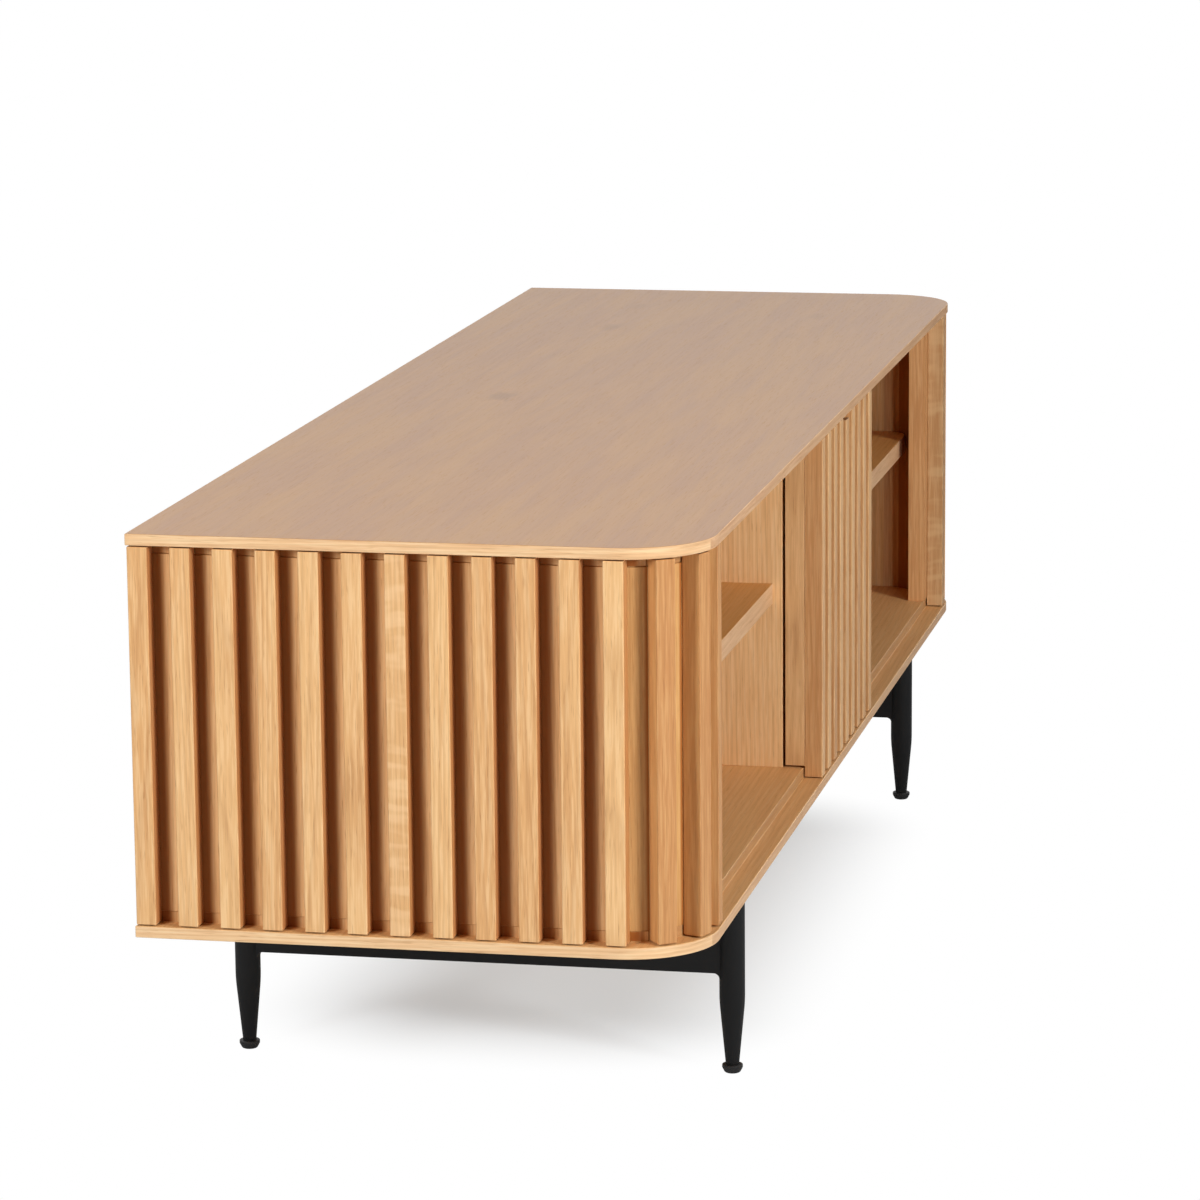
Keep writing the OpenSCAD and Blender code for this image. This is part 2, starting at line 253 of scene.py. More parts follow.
# %% A finish
MIX_SHARE = 0
MIX_A = 6
MIX_B = 7
MIX_COLOUR = 2


def set_stops(ramp, stops):
    """Give a ramp these grey levels."""
    while len(ramp.elements) > 1:
        ramp.elements.remove(ramp.elements[-1])
    for i, (position, level) in enumerate(stops):
        stop = ramp.elements[0] if i == 0 else ramp.elements.new(position)
        stop.position = position
        stop.color = (level, level, level, 1)


class Finish:
    """One material being mixed, with a single way to add nodes to it."""

    def __init__(self, name):
        self.material = bpy.data.materials.new(name)
        self.material.use_nodes = True
        self.tree = self.material.node_tree
        self.tree.nodes.clear()

    def node(self, kind, settings=None, inputs=None, output=0):
        made = self.tree.nodes.new(kind)
        for name, value in (settings or {}).items():
            if name == "stops":
                set_stops(made.color_ramp, value)
            else:
                setattr(made, name, value)
        for name, value in (inputs or {}).items():
            if isinstance(value, Wire):
                self.tree.links.new(value.socket, made.inputs[name])
            else:
                made.inputs[name].default_value = value
        return Wire(self, made.outputs[output])

    def maths(self, operation, a, b=0.0):
        return self.node("ShaderNodeMath", {"operation": operation}, {0: a, 1: b})

    def vectors(self, operation, a, b):
        return self.node("ShaderNodeVectorMath", {"operation": operation}, {0: a, 1: b})

    def length(self, a):
        return self.node("ShaderNodeVectorMath", {"operation": "LENGTH"}, {0: a}, "Value")

    def noise(self, place, stretch, detail=2.0, roughness=0.5):
        settings = {"noise_dimensions": "3D"}
        inputs = {"Vector": self.vectors("MULTIPLY", place, stretch), "Scale": 1.0,
                  "Detail": detail, "Roughness": roughness}
        return self.node("ShaderNodeTexNoise", settings, inputs, "Fac")

    def ramp(self, value, stops):
        return self.node("ShaderNodeValToRGB", {"stops": stops}, {"Fac": value})

    def span(self, value, low, high):
        """0 below low, 1 above high, and smooth between."""
        settings = {"interpolation_type": "SMOOTHSTEP"}
        inputs = {"Value": value, "From Min": low, "From Max": high}
        return self.node("ShaderNodeMapRange", settings, inputs)

    def blend(self, share, a, b):
        """Colour a where share is 0 and colour b where it is 1."""
        settings = {"data_type": "RGBA"}
        inputs = {MIX_SHARE: share, MIX_A: a, MIX_B: b}
        return self.node("ShaderNodeMix", settings, inputs, MIX_COLOUR)

    def part(self, vector, axis):
        """One coordinate of a vector."""
        return self.node("ShaderNodeSeparateXYZ", None, {"Vector": vector}, axis)

    def surface(self, inputs, height=None, depth=0.0):
        if height is not None:
            bump = {"Strength": 1.0, "Distance": depth, "Height": height}
            inputs["Normal"] = self.node("ShaderNodeBump", None, bump)
        shader = self.node("ShaderNodeBsdfPrincipled", None, inputs)
        output = self.tree.nodes.new("ShaderNodeOutputMaterial")
        self.tree.links.new(shader.socket, output.inputs["Surface"])
        return self.material


print("finishes ready to mix")

# %% [markdown]
# ## Oak
# Oak is a ring-porous wood. Each year leaves a band of open pores, then a band of dense, darker
# latewood. A picture of a plank would repeat and stretch; instead the tree itself is described, as
# slim nested cones round a pith, and every part cuts through it in its own place. A cone gives
# straight lines on an edge and pointed arches on a wide face.
#
# Each part stores a vector called plank, which carries it to its own spot in the tree, so no two
# slats match. On top of the rings come slow changes of tone, streaks a few millimetres wide, fine
# fibres and short dark pores. Each layer is a noise squeezed across the grain and drawn out along
# it. Its two numbers say how finely it varies across the grain and along it, for each metre.

# %% The tree
RING = 3.6 * MM
TAPER = 0.02
DARK = (0.36, 0.15, 0.05)
DRIFT = (7, 1.3)
WANDER = (30, 4)
PATCH = (45, 5)
STREAK = (330, 14)
FIBRE = (700, 30)
PORE = (1300, 60)
RAY = (30, 120)


def grain(axis, layer, long=1.0):
    """A layer's stretch on each axis: fine across the grain and long along it."""
    across, along = layer
    return tuple(along / long if name in axis else across for name in "xyz")


print("rings", round(RING / MM, 1), "mm apart, streaks stretched", grain("z", STREAK))

# %% [markdown]
# ## Knots
# The top was cut past a few small knots. Each is a soft, ragged spot, twice as long as it is wide,
# which darkens the wood and pushes the rings aside.

# %% Knots
KNOT_REACH = 24 * MM
KNOT_SHAPE = (0.5, 1, 0)
TOP_KNOTS = ((-0.008, 0.090, 0.9), (0.547, -0.109, 0.5), (0.599, 0.082, 0.45),
             (0.444, 0.081, 0.6), (0.41, -0.104, 0.4), (-0.403, 0.009, 0.25))


def knot_field(f, spot, knots):
    """As strong as each knot in its middle, falling raggedly to 0 a few centimetres out."""
    ragged = f.noise(spot, (40, 90, 0), 2)
    field = 0
    for x, y, strength in knots:
        offset = f.vectors("SUBTRACT", spot, (x, y, 0))
        reach = f.length(f.vectors("MULTIPLY", offset, KNOT_SHAPE)) * (0.2 + 1.6 * ragged)
        field = strength * (1 - f.span(reach, 0, KNOT_REACH)) + field
    return field


print(len(TOP_KNOTS), "knots in the top")

# %% [markdown]
# ## Shade in the grooves
# The grooves between the slats are deep and narrow, and light hardly reaches the side of each that
# lies behind a slat's front edge. A soft lamp would wash that out, so the panel's colour deepens
# there. The masks are worked out from the slats' own spacing: along the flat end by distance, and
# round the bend by angle. A third one deepens the inside of the bend, where the bay turns dark.

# %% Shade masks
SHADE_TONE = (0.34, 0.10, 0.015)
SHADE_SHARE = 0.92
FIRST_SLAT = 224 * MM
SLAT_PITCH = 33.9 * MM
SLAT_WIDTH = 16 * MM
GROOVE_SHADE = (4 * MM, 13 * MM)
BEND_CENTRE = (655 * MM, 155 * MM, 0)
FIRST_BENT = math.radians(27.1)
BENT_PITCH = math.radians(33.6)
BEND_SHADE = (math.radians(0.5), math.radians(4.3))
INNER_SHADE = (-164 * MM, -150 * MM)


def groove_shade(f, spot):
    """How deep in the shade of a slat each point of the end panel lies, from 0 to 1."""
    place = f.part(spot, "Y")
    across = f.maths("FRACT", (FIRST_SLAT - place) * (1 / SLAT_PITCH)) * SLAT_PITCH
    return 1 - f.span(across - SLAT_WIDTH, *GROOVE_SHADE)


def inner_shade(f, spot):
    """The shade inside the bend of an end panel, from 0 on the flat to 1 behind the front."""
    return 1 - f.span(f.part(spot, "Y"), *INNER_SHADE)


def bend_shade(f, spot):
    """The shade beside each slat round the bend, on the side away from the front."""
    out = f.vectors("SUBTRACT", f.vectors("ABSOLUTE", spot, (0, 0, 0)), BEND_CENTRE)
    over = f.part(out, "X")
    forward = f.part(out, "Y")
    behind = f.maths("FRACT", (FIRST_BENT - f.maths("ARCTAN2", forward, over)) * (1 / BENT_PITCH))
    return 1 - f.span(behind * BENT_PITCH, *BEND_SHADE)


print("slats", round(SLAT_PITCH / MM, 1), "mm apart on the flat,",
      round(math.degrees(BENT_PITCH), 1), "degrees apart round the bend")

# %% [markdown]
# ## The recipe
# gold and rose are the two tones that drift into each other, pale lifts the streaks, and DARK goes
# into latewood, pores and knots. lines sets how strong the grain is, glow how far the pale streaks
# go, gloss the roughness, long how stretched the streaks are, and flecks adds the silky ripples of
# a board cut straight through the pith. The same layers drive colour, roughness and a slight bump,
# because an open pore is dark, dull and low all at once.

# %% The oak recipe
DRIFT_WIDTH = 14 * MM
WANDER_WIDTH = 6 * MM
KNOT_PUSH = 12 * MM
RAY_BOW = 14 * MM
RELIEF = 0.08 * MM


def oak(name, axis, gold, rose, pale, lines=1.0, glow=0.6, gloss=0.46, long=1.0,
        knots=(), flecks=0.0, shaded=None, shine=0.5):
    f = Finish(name)
    spot = f.node("ShaderNodeTexCoord", output="Object")
    plank = f.node("ShaderNodeAttribute", {"attribute_name": "plank"}, output="Vector")
    place = f.vectors("ADD", spot, plank)

    drift = f.noise(place, grain(axis, DRIFT), 1)
    wander = f.noise(place, grain(axis, WANDER), 2)
    from_pith = f.length(f.vectors("MULTIPLY", place, grain(axis, (1, 0))))
    radius = from_pith + drift * DRIFT_WIDTH + wander * WANDER_WIDTH
    climb = f.node("ShaderNodeVectorMath", {"operation": "DOT_PRODUCT"},
                   {0: place, 1: grain(axis, (0, TAPER))}, "Value")
    radius = radius + climb
    if knots:
        knot = knot_field(f, spot, knots)
        radius = radius + knot * KNOT_PUSH
    year = f.maths("FRACT", radius * (1 / RING))
    latewood = f.ramp(year, [(0, 0.1), (0.40, 0.15), (0.85, 1), (1, 0.1)])

    patch = f.noise(place, grain(axis, PATCH), 2)
    streak = f.noise(place, grain(axis, STREAK, long), 2, 0.6)
    fibre = f.noise(place, grain(axis, FIBRE, long), 2, 0.6)
    pores = f.span(f.noise(place, grain(axis, PORE), 1), 0.60, 0.74)

    own = f.noise(plank, (3.1, 3.1, 3.1), 0)
    base = f.blend(f.span(patch * 0.5 + own * 0.5, 0.38, 0.62), (*gold, 1), (*rose, 1))
    light = f.span(streak * 0.5 + fibre * 0.5, 0.45, 0.62)
    shade = latewood * (0.22 * lines)
    shade = shade + f.span(1 - streak, 0.5, 0.75) * (0.22 * lines)
    shade = shade + pores * (0.30 * lines)
    if knots:
        shade = shade + f.span(knot, 0.1, 0.9) * 0.55
    colour = f.blend(shade, f.blend(light * glow, base, (*pale, 1)), (*DARK, 1))
    if flecks:
        bow = f.node("ShaderNodeCombineXYZ", None, {"Z": wander * RAY_BOW})
        ripple = f.vectors("ADD", place, bow)
        ray = f.span(f.noise(ripple, grain(axis, RAY), 1), 0.42, 0.70)
        colour = f.blend(ray * flecks, colour, (*pale, 1))
    if shaded:
        colour = f.blend(shaded(f, spot) * SHADE_SHARE, colour, (*SHADE_TONE, 1))
    rough = gloss + 0.10 * fibre + 0.10 * pores
    height = fibre * 0.35 + streak * 0.5 - pores * 0.7 - latewood * 0.15
    inputs = {"Base Color": colour, "Roughness": rough, "IOR": 1.5, "Specular IOR Level": shine}
    return f.surface(inputs, height, RELIEF * min(lines, 1))


def oaks():
    """The names of the oak finishes made so far."""
    return [m.name for m in bpy.data.materials if m.name.startswith("oak")]


print("oak recipe ready, relief", round(RELIEF / MM, 2), "mm")

# %% [markdown]
# ## One finish for each kind of board
# The recipe is shared, but the boards were never from one tree: the slats on the door are warmer,
# and two slats are figured. The faces on the flat end, which the key lamp reaches, are the palest.
# The slats round the corner, turned away from that lamp, take darker oak, and a slat's flanks are
# deeper in tone than its face: both are painted shade. A slat's sawn ends are deeper in tone than
# its face, as end grain is.

# %% Slat finishes
oak_slat = oak("oak_slat", "z", (0.77, 0.455, 0.20), (0.69, 0.37, 0.15), (0.88, 0.60, 0.32),
               lines=1.1, glow=0.5)
# Painted shade: the slats' flanks take this darker copy of the slat oak.
oak_side = oak("oak_side", "z", (0.52, 0.235, 0.08), (0.48, 0.20, 0.068), (0.58, 0.29, 0.12),
               lines=0.8)
# Painted shade: the flanks of the slats round the corner take this darker copy of the slat oak.
oak_corner = oak("oak_corner", "z", (0.66, 0.34, 0.125), (0.61, 0.30, 0.105), (0.72, 0.42, 0.17),
                 lines=0.8)
# Painted shade: the faces of the slats round the corner, turned away from the key lamp, take this
# darker copy.
oak_turned = oak("oak_turned", "z", (0.56, 0.27, 0.095), (0.51, 0.23, 0.08), (0.68, 0.385, 0.16),
                 lines=1.1, glow=0.5)
oak_end = oak("oak_end", "xy", (0.22, 0.09, 0.03), (0.19, 0.075, 0.024), (0.28, 0.12, 0.045))
oak_warm = oak("oak_warm", "z", (0.60, 0.305, 0.12), (0.55, 0.265, 0.10), (0.72, 0.43, 0.20),
               lines=1.1, glow=0.5)
oak_door = oak("oak_door", "z", (0.72, 0.43, 0.20), (0.57, 0.30, 0.13), (0.80, 0.52, 0.27),
               lines=1.3)
oak_rayed = oak("oak_rayed", "z", (0.48, 0.26, 0.11), (0.44, 0.23, 0.09), (0.60, 0.38, 0.19),
                lines=0.6, flecks=0.6)
oak_figured = oak("oak_figured", "z", (0.71, 0.40, 0.17), (0.65, 0.345, 0.14), (0.87, 0.58, 0.31),
                  lines=0.9, glow=0.4, flecks=0.42)
print("slat finishes", oaks())

# %% [markdown]
# The end panels and the boards' steps take the shade masks. They hardly shine, so that no light
# slips back into a groove as a gleam.

# %% Panel finishes
oak_bent = oak("oak_bent", "z", (0.63, 0.355, 0.138), (0.58, 0.31, 0.113), (0.70, 0.43, 0.18),
               shaded=bend_shade, shine=0.1)
oak_groove = oak("oak_groove", "z", (0.86, 0.52, 0.24), (0.82, 0.47, 0.20), (0.88, 0.60, 0.31),
                 shaded=groove_shade, shine=0.1)
oak_board = oak("oak_board", "z", (0.85, 0.53, 0.25), (0.80, 0.48, 0.22), (0.88, 0.60, 0.32),
                lines=0.9)
oak_panel = oak("oak_panel", "z", (0.74, 0.44, 0.195), (0.68, 0.39, 0.17), (0.80, 0.50, 0.25))
oak_inside = oak("oak_inside", "z", (0.86, 0.53, 0.24), (0.80, 0.48, 0.21), (0.88, 0.60, 0.31),
                 shaded=inner_shade, shine=0.1)
print("with the panels'", len(oaks()), "oak finishes")

# %% [markdown]
# The boards that lie flat have grain along X, seen at a low angle, so it is calmer and longer. The
# top has a smoother lacquer than the rest, and its edge bands are the palest oak of all.

# %% Finishes of the flat boards
oak_shelf = oak("oak_shelf", "x", (0.68, 0.34, 0.10), (0.64, 0.30, 0.085), (0.74, 0.42, 0.16),
                lines=0.6, long=2)
oak_inner = oak("oak_inner", "x", (0.82, 0.47, 0.19), (0.78, 0.43, 0.17), (0.86, 0.55, 0.26),
                lines=0.6, long=2)
oak_top = oak("oak_top", "x", (0.62, 0.305, 0.095), (0.55, 0.265, 0.105), (0.66, 0.375, 0.135),
              lines=0.3, glow=0.2, gloss=0.30, long=2, knots=TOP_KNOTS)
oak_edge = oak("oak_edge", "xy", (0.80, 0.51, 0.27), (0.75, 0.45, 0.23), (0.87, 0.63, 0.37),
               lines=0.9)
# Painted shade: the front of the raised step, set back from the lip's edge, takes this darker oak.
oak_step = oak("oak_step", "x", (0.46, 0.24, 0.095), (0.42, 0.215, 0.085), (0.52, 0.29, 0.125),
               lines=0.4)
oak_lip = oak("oak_lip", "x", (0.64, 0.38, 0.20), (0.60, 0.34, 0.18), (0.72, 0.46, 0.26),
              lines=0.7)
print("all", len(oaks()), "oak finishes, the last is", oak_lip.name)

# %% [markdown]
# ## Metal and plastic
# The base is powder coated. The powder melts into a fine orange peel, so the black is broken up by a
# slight bump, and it is rough enough to give only a soft light along each leg.

# %% Powder coat
PEEL = 0.05 * MM


def powder_coat():
    """Black paint with a fine peel and a faint cloudiness."""
    f = Finish("black_powder_coat")
    spot = f.node("ShaderNodeTexCoord", output="Object")
    peel = f.noise(spot, (900, 900, 900), 2)
    cloud = f.noise(spot, (25, 25, 25), 2)
    colour = f.blend(cloud, (0.005, 0.0048, 0.0048, 1), (0.009, 0.0085, 0.0085, 1))
    inputs = {"Base Color": colour, "Roughness": 0.45 + 0.1 * cloud, "Specular IOR Level": 0.24}
    return f.surface(inputs, peel, PEEL)


black_paint = powder_coat()
print("paint", black_paint.name)

# %% [markdown]
# The feet are moulded plastic, with a skin as fine as the mould's. The track and the screws are
# bare metal, drawn or turned, so their fine lines run one way.

# %% Plastic and bare metal
SKIN = 0.02 * MM
DRAWN = 0.01 * MM


def moulded(name, colour, rough):
    """A plastic with a fine mould skin."""
    f = Finish(name)
    spot = f.node("ShaderNodeTexCoord", output="Object")
    skin = f.noise(spot, (1400, 1400, 1400), 2)
    cloud = f.noise(spot, (40, 40, 40), 2)
    shade = f.blend(cloud, (*colour, 1), (*[c * 0.85 for c in colour], 1))
    return f.surface({"Base Color": shade, "Roughness": rough + 0.1 * cloud}, skin, SKIN)


def drawn_metal(name, colour, rough):
    """A bare metal with fine lines along X."""
    f = Finish(name)
    spot = f.node("ShaderNodeTexCoord", output="Object")
    lines = f.noise(spot, (4, 2200, 2200), 2)
    inputs = {"Base Color": (*colour, 1), "Metallic": 1.0, "Roughness": rough + 0.15 * lines}
    return f.surface(inputs, lines, DRAWN)


black_plastic = moulded("black_foot_plastic", (0.011, 0.010, 0.010), 0.5)
white_nylon = moulded("white_nylon", (0.80, 0.79, 0.75), 0.45)
aluminium = drawn_metal("drawn_aluminium", (0.75, 0.75, 0.76), 0.3)
zinc = drawn_metal("screw_zinc", (0.55, 0.55, 0.56), 0.3)
print("plastics", black_plastic.name, white_nylon.name, "and metals", aluminium.name, zinc.name)

# %% [markdown]
# ## Painting a part
# Before it goes over, a part gets its finishes, face by face, and its plank: where in the tree it
# was cut, a little way from the pith and on any side of it. The random numbers are seeded, so the
# same cabinet comes out every time.

# %% Painting and planks
SEED = 7
FROM_PITH = (60 * MM, 260 * MM)
UP_THE_TRUNK = (5, 60)
LOW = 0
HIGH = 6
rng = random.Random(SEED)


def paint(piece, *finishes, choose=None):
    """Give the piece its finishes. choose says which one each face takes, the first if left out."""
    piece.data.materials.clear()
    for finish in finishes:
        piece.data.materials.append(finish)
    for polygon in piece.data.polygons:
        polygon.material_index = choose(polygon) if choose else 0


def box_corners(piece):
    """The lowest and the highest corner of a piece's box."""
    corners = [Vector(c) for c in piece.bound_box]
    return corners[LOW], corners[HIGH]


def give_plank(piece, grain="z"):
    """Store, on every point, where this part was cut from the tree."""
    low, high = box_corners(piece)
    middle = (low + high) / 2
    pith = rng.uniform(*FROM_PITH)
    turn = rng.uniform(0, 2 * math.pi)
    far = rng.uniform(*UP_THE_TRUNK)
    around = {"x": (far, pith * math.cos(turn), pith * math.sin(turn)),
              "z": (pith * math.cos(turn), pith * math.sin(turn), far)}[grain]
    here = Vector(around) - middle
    layer = piece.data.attributes.new("plank", "FLOAT_VECTOR", "POINT")
    layer.data.foreach_set("vector", list(here) * len(piece.data.vertices))


print("planks drawn with seed", SEED)

# %% [markdown]
# ## Handing a part over
# A finished part replaces its node and rides on that node's body. Eased edges may pull a part in
# by a fraction of a millimetre, and anything more is printed.

# %% Handing over
EASED = 0.8 * MM
BODIES = frame["record"]["behaviour"]["bodies"]
BODY_OF = {node: body for body, nodes in BODIES.items() for node in nodes}


def box_error(piece, node):
    """How far the part's box is from the frame's."""
    low, high = box_corners(piece)
    frame_low, frame_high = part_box(node)
    return max(abs(gap) for gap in (*(low - frame_low), *(high - frame_high)))


def hand_over(piece, node):
    """Put the part in its node's place, on its node's body."""
    off = box_error(piece, node)
    if off > EASED:
        print("  ", node, "is", round(off / MM, 2), "mm off its box")
    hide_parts(node)
    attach(piece, BODY_OF[node])


print(len(BODY_OF), "nodes on", sorted(BODIES))

# %% [markdown]
# ## The two stepped boards
# Each board is 18 mm thick, and its ends and front are rebated to leave a thin lip. Modelling the
# lip and the raised middle as two plates would leave a seam. Here the raised outline comes first,
# with its corners rounded; a cut marks the lip's height, and the band on the lip's side of it is
# pushed outwards, which keeps the corners concentric and the board one closed piece.

# %% The rebated board
LIP = 9.2 * MM
STEP = 18 * MM
CORNER = 70 * MM
BOARD_ARRIS = 0.8 * MM


def lip_height(node, up):
    """Where the lip ends and the raised middle begins."""
    low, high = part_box(node)
    return low.z + LIP if up > 0 else high.z - LIP


def rebated_board(node, up):
    """A board whose ends and front are rebated. up is 1 where the lip is below, -1 above."""
    low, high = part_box(node)
    middle_low = (low.x + STEP, low.y + STEP, low.z)
    middle_high = (high.x - STEP, high.y, high.z)
    piece = block(node + "_oak", middle_low, middle_high)
    lip_z = lip_height(node, up)
    only(piece)
    bpy.ops.object.mode_set(mode="EDIT")
    pick_edges(piece, lambda mid, way: abs(way.z) > 0.9 and mid.y < 0)
    bpy.ops.mesh.bevel(offset=CORNER - STEP, segments=24, affect="EDGES")
    bpy.ops.mesh.select_all(action="SELECT")
    bpy.ops.mesh.bisect(plane_co=(0, 0, lip_z), plane_no=(0, 0, 1))
    pick_faces(piece, lambda c, n: (c.z - lip_z) * up < 0 and abs(n.z) < 0.1 and n.y < 0.5)
    bpy.ops.mesh.extrude_region_shrink_fatten(
        TRANSFORM_OT_shrink_fatten={"value": STEP, "use_even_offset": True})
    bpy.ops.object.mode_set(mode="OBJECT")
    sand(piece, BOARD_ARRIS)
    return piece


print("lip", round(LIP / MM, 1), "mm of a board, step", round(STEP / MM), "mm wide")

# %% [markdown]
# A rebate at the back takes the back panel, and a groove in the top takes the door's track. Then each
# face gets its finish. The step behind the slats takes the same shaded tones as the end panels,
# because the grooves run on across it. The step's front, set back from the lip's edge, takes a
# darker oak as painted shade.

# %% Finishing the boards
BACK_REBATE = (0.701, 0.217)
REBATE_DEPTH = 10 * MM
OUTSIDE, INSIDE, EDGE, BENT_STEP, FRONT_LIP, END_STEP, FRONT_STEP = range(7)


def board_face(face, up, lip_z):
    """Which of the board's finishes a face takes."""
    if abs(face.normal.z) > 0.7:
        return OUTSIDE if face.normal.z * up < 0 else INSIDE
    if (face.center.z - lip_z) * up < 0:
        return FRONT_LIP if face.normal.y < -0.97 else EDGE
    # The step's front, set back from the lip's edge, takes a darker oak as painted shade.
    if face.normal.y < -0.5:
        return FRONT_STEP
    return END_STEP if abs(face.normal.x) > 0.9 else BENT_STEP


def finish_board(node, up, outer):
    """A stepped board with its back rebate, its finishes and its plank."""
    low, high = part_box(node)
    piece = rebated_board(node, up)
    width, rebate_y = BACK_REBATE
    inner = high.z if up > 0 else low.z
    rebate_low = (-width, rebate_y, inner - REBATE_DEPTH)
    rebate_high = (width, high.y + MM, inner + REBATE_DEPTH)
    cut(piece, rebate_low, rebate_high)
    smooth(piece)
    lip_z = lip_height(node, up)
    paint(piece, outer, oak_inner, oak_edge, oak_bent, oak_lip, oak_groove, oak_step,
          choose=lambda face: board_face(face, up, lip_z))
    give_plank(piece, "x")
    return piece


bottom = finish_board("bottom_board", 1, oak_shelf)
top = finish_board("top_board", -1, oak_top)
groove_low, groove_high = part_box("door_track")
cut(top, groove_low - Vector((0, 0, MM)), groove_high)
for board, node in ((bottom, "bottom_board"), (top, "top_board")):
    hand_over(board, node)
    print(node, [round(v, 4) for v in board.dimensions], len(board.data.polygons), "faces")

# %% [markdown]
# ## End panels
# Each end is one sheet of bent plywood: flat along the end, round the corner and a little way along
# the front. The flat part is a block, its front face is spun a quarter turn about the corner's
# centre, and the last stretch is pulled straight. Spin can leave doubled points, faces inside and
# normals that point inwards, so all three are put right.

# %% The bent panel
PANEL = 17 * MM
PANEL_ARRIS = 0.5 * MM
SAME_PLACE = 0.01 * MM
RETURN = 37 * MM
BEND_STEPS = 24
BEND_START = CORNER - PANEL


def bent_panel(node, side):
    """An end panel, bent round the front corner. side is -1 on the left and 1 on the right."""
    low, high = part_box(node)
    outer = high.x if side > 0 else low.x
    bend_x = outer - side * BEND_START
    bend_y = low.y + BEND_START
    xs = sorted((outer, outer - side * PANEL))
    piece = block(node + "_oak", (xs[0], bend_y, low.z), (xs[1], high.y, high.z))
    only(piece)
    bpy.ops.object.mode_set(mode="EDIT")
    pick_faces(piece, lambda c, n: n.y < -0.9)
    bpy.ops.mesh.spin(steps=BEND_STEPS, angle=side * math.pi / 2,
                      center=(bend_x, bend_y, 0), axis=(0, 0, 1))
    bpy.ops.mesh.extrude_region_move(TRANSFORM_OT_translate={"value": (-side * RETURN, 0, 0)})
    bpy.ops.mesh.select_all(action="SELECT")
    bpy.ops.mesh.remove_doubles(threshold=SAME_PLACE)
    bpy.ops.mesh.select_all(action="DESELECT")
    bpy.ops.mesh.select_mode(type="FACE")
    bpy.ops.mesh.select_interior_faces()
    bpy.ops.mesh.delete(type="FACE")
    bpy.ops.mesh.select_all(action="SELECT")
    bpy.ops.mesh.normals_make_consistent(inside=False)
    bpy.ops.object.mode_set(mode="OBJECT")
    sand(piece, PANEL_ARRIS)
    width, rebate_y = BACK_REBATE
    cut(piece, (-width, rebate_y, low.z - MM), (width, high.y + MM, high.z + MM))
    smooth(piece)
    return piece


print("panel", round(PANEL / MM), "mm thick, bent in", BEND_STEPS, "steps")

# %% [markdown]
# The flat outer face takes the groove shade, the bend its own, and the inside a third. The face
# along the front and the edge that shows in the bay are plain, in the warm oak of the door.

# %% Finishing the end panels
ROUND_BEND, BEHIND_SLATS, IN_THE_BAY, ALONG_FRONT = range(4)


def panel_face(face, side, bend_y):
    """Which of the end panel's finishes a face takes."""
    outward = face.normal.x * side
    if outward > 0.9 and face.center.y > bend_y:
        return BEHIND_SLATS
    if face.normal.y < -0.97 or (outward < -0.9 and face.center.y < bend_y):
        return ALONG_FRONT
    return IN_THE_BAY if outward < -0.1 or face.normal.y > 0.5 else ROUND_BEND


def end_panel(node, side):
    """An end panel with its finishes and its plank."""
    piece = bent_panel(node, side)
    bend_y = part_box(node)[0].y + BEND_START
    paint(piece, oak_bent, oak_groove, oak_inside, oak_warm,
          choose=lambda face: panel_face(face, side, bend_y))
    give_plank(piece)
    return piece


for node, side in (("left_end_panel", -1), ("right_end_panel", 1)):
    panel = end_panel(node, side)
    hand_over(panel, node)
    print(node, [round(v, 4) for v in panel.dimensions], len(panel.data.polygons), "faces")

# %% [markdown]
# ## Slats
# All the slats are alike, so one is modelled and the rest are copies with their own meshes. Its long
# edges are eased by about a millimetre, which is what catches the light on the real ones.

# %% One slat
SLAT_ARRIS = 0.9 * MM


def first_slat():
    """The pattern for all the slats, centred on the origin and facing out along X."""
    low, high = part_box("left_slat_01")
    half = (high - low) / 2
    slat = block("slat_pattern", -half, half)
    sand(slat, SLAT_ARRIS, 3)
    smooth(slat)
    return slat


pattern = first_slat()
print("slat pattern", [round(v, 4) for v in pattern.dimensions])

# %% [markdown]
# Each copy is turned to face straight out of the panel behind it: to the side on the ends, to the
# front on the door, and away from the bend's centre round a corner.

# %% Which way a slat faces, and its finishes
ARC = Vector((frame_box[1].x - CORNER, frame_box[0].y + CORNER, 0))
ARC_SLACK = 3 * MM
LAST_FLAT = 12
FACE, FLANK, SAWN_END = range(3)


def facing(middle):
    """The way a slat looks: out of the end, out of the front, or away from the corner's centre."""
    side = 1 if middle.x > 0 else -1
    beyond = Vector((abs(middle.x) - ARC.x, middle.y - ARC.y))
    if beyond.x <= 0:
        return -math.pi / 2
    if beyond.y >= -ARC_SLACK:
        return 0 if side > 0 else math.pi
    return math.atan2(beyond.y, side * beyond.x)


def slat_finish(node):
    """A slat's finishes: its face, its flanks and its sawn ends."""
    row, number = node.split("_slat_")
    # The flanks, and the faces of the slats round the corner, take darker oak than the faces on the
    # flat end: painted shade.
    if node == "right_slat_15":
        return oak_rayed, oak_rayed, oak_end
    if node == "left_slat_07":
        return oak_figured, oak_side, oak_end
    if row == "door":
        return oak_door, oak_warm, oak_end
    if int(number) <= LAST_FLAT:
        return oak_slat, oak_side, oak_end
    return oak_turned, oak_corner, oak_end


def slat_face(face, way):
    """Which of the slat's finishes a face takes, when the slat looks this way."""
    if abs(face.normal.z) > 0.9:
        return SAWN_END
    upright = abs(face.normal.z) < 0.1
    return FLANK if upright and abs(face.normal.dot(way)) < 0.1 else FACE


print("the bend's centre", [round(v, 3) for v in ARC])

# %% [markdown]
# One slat of the door is a little shorter than the others at its top. The pattern is too long for
# it, so its top end is pulled down in edit mode, which keeps the eased edges as they are.

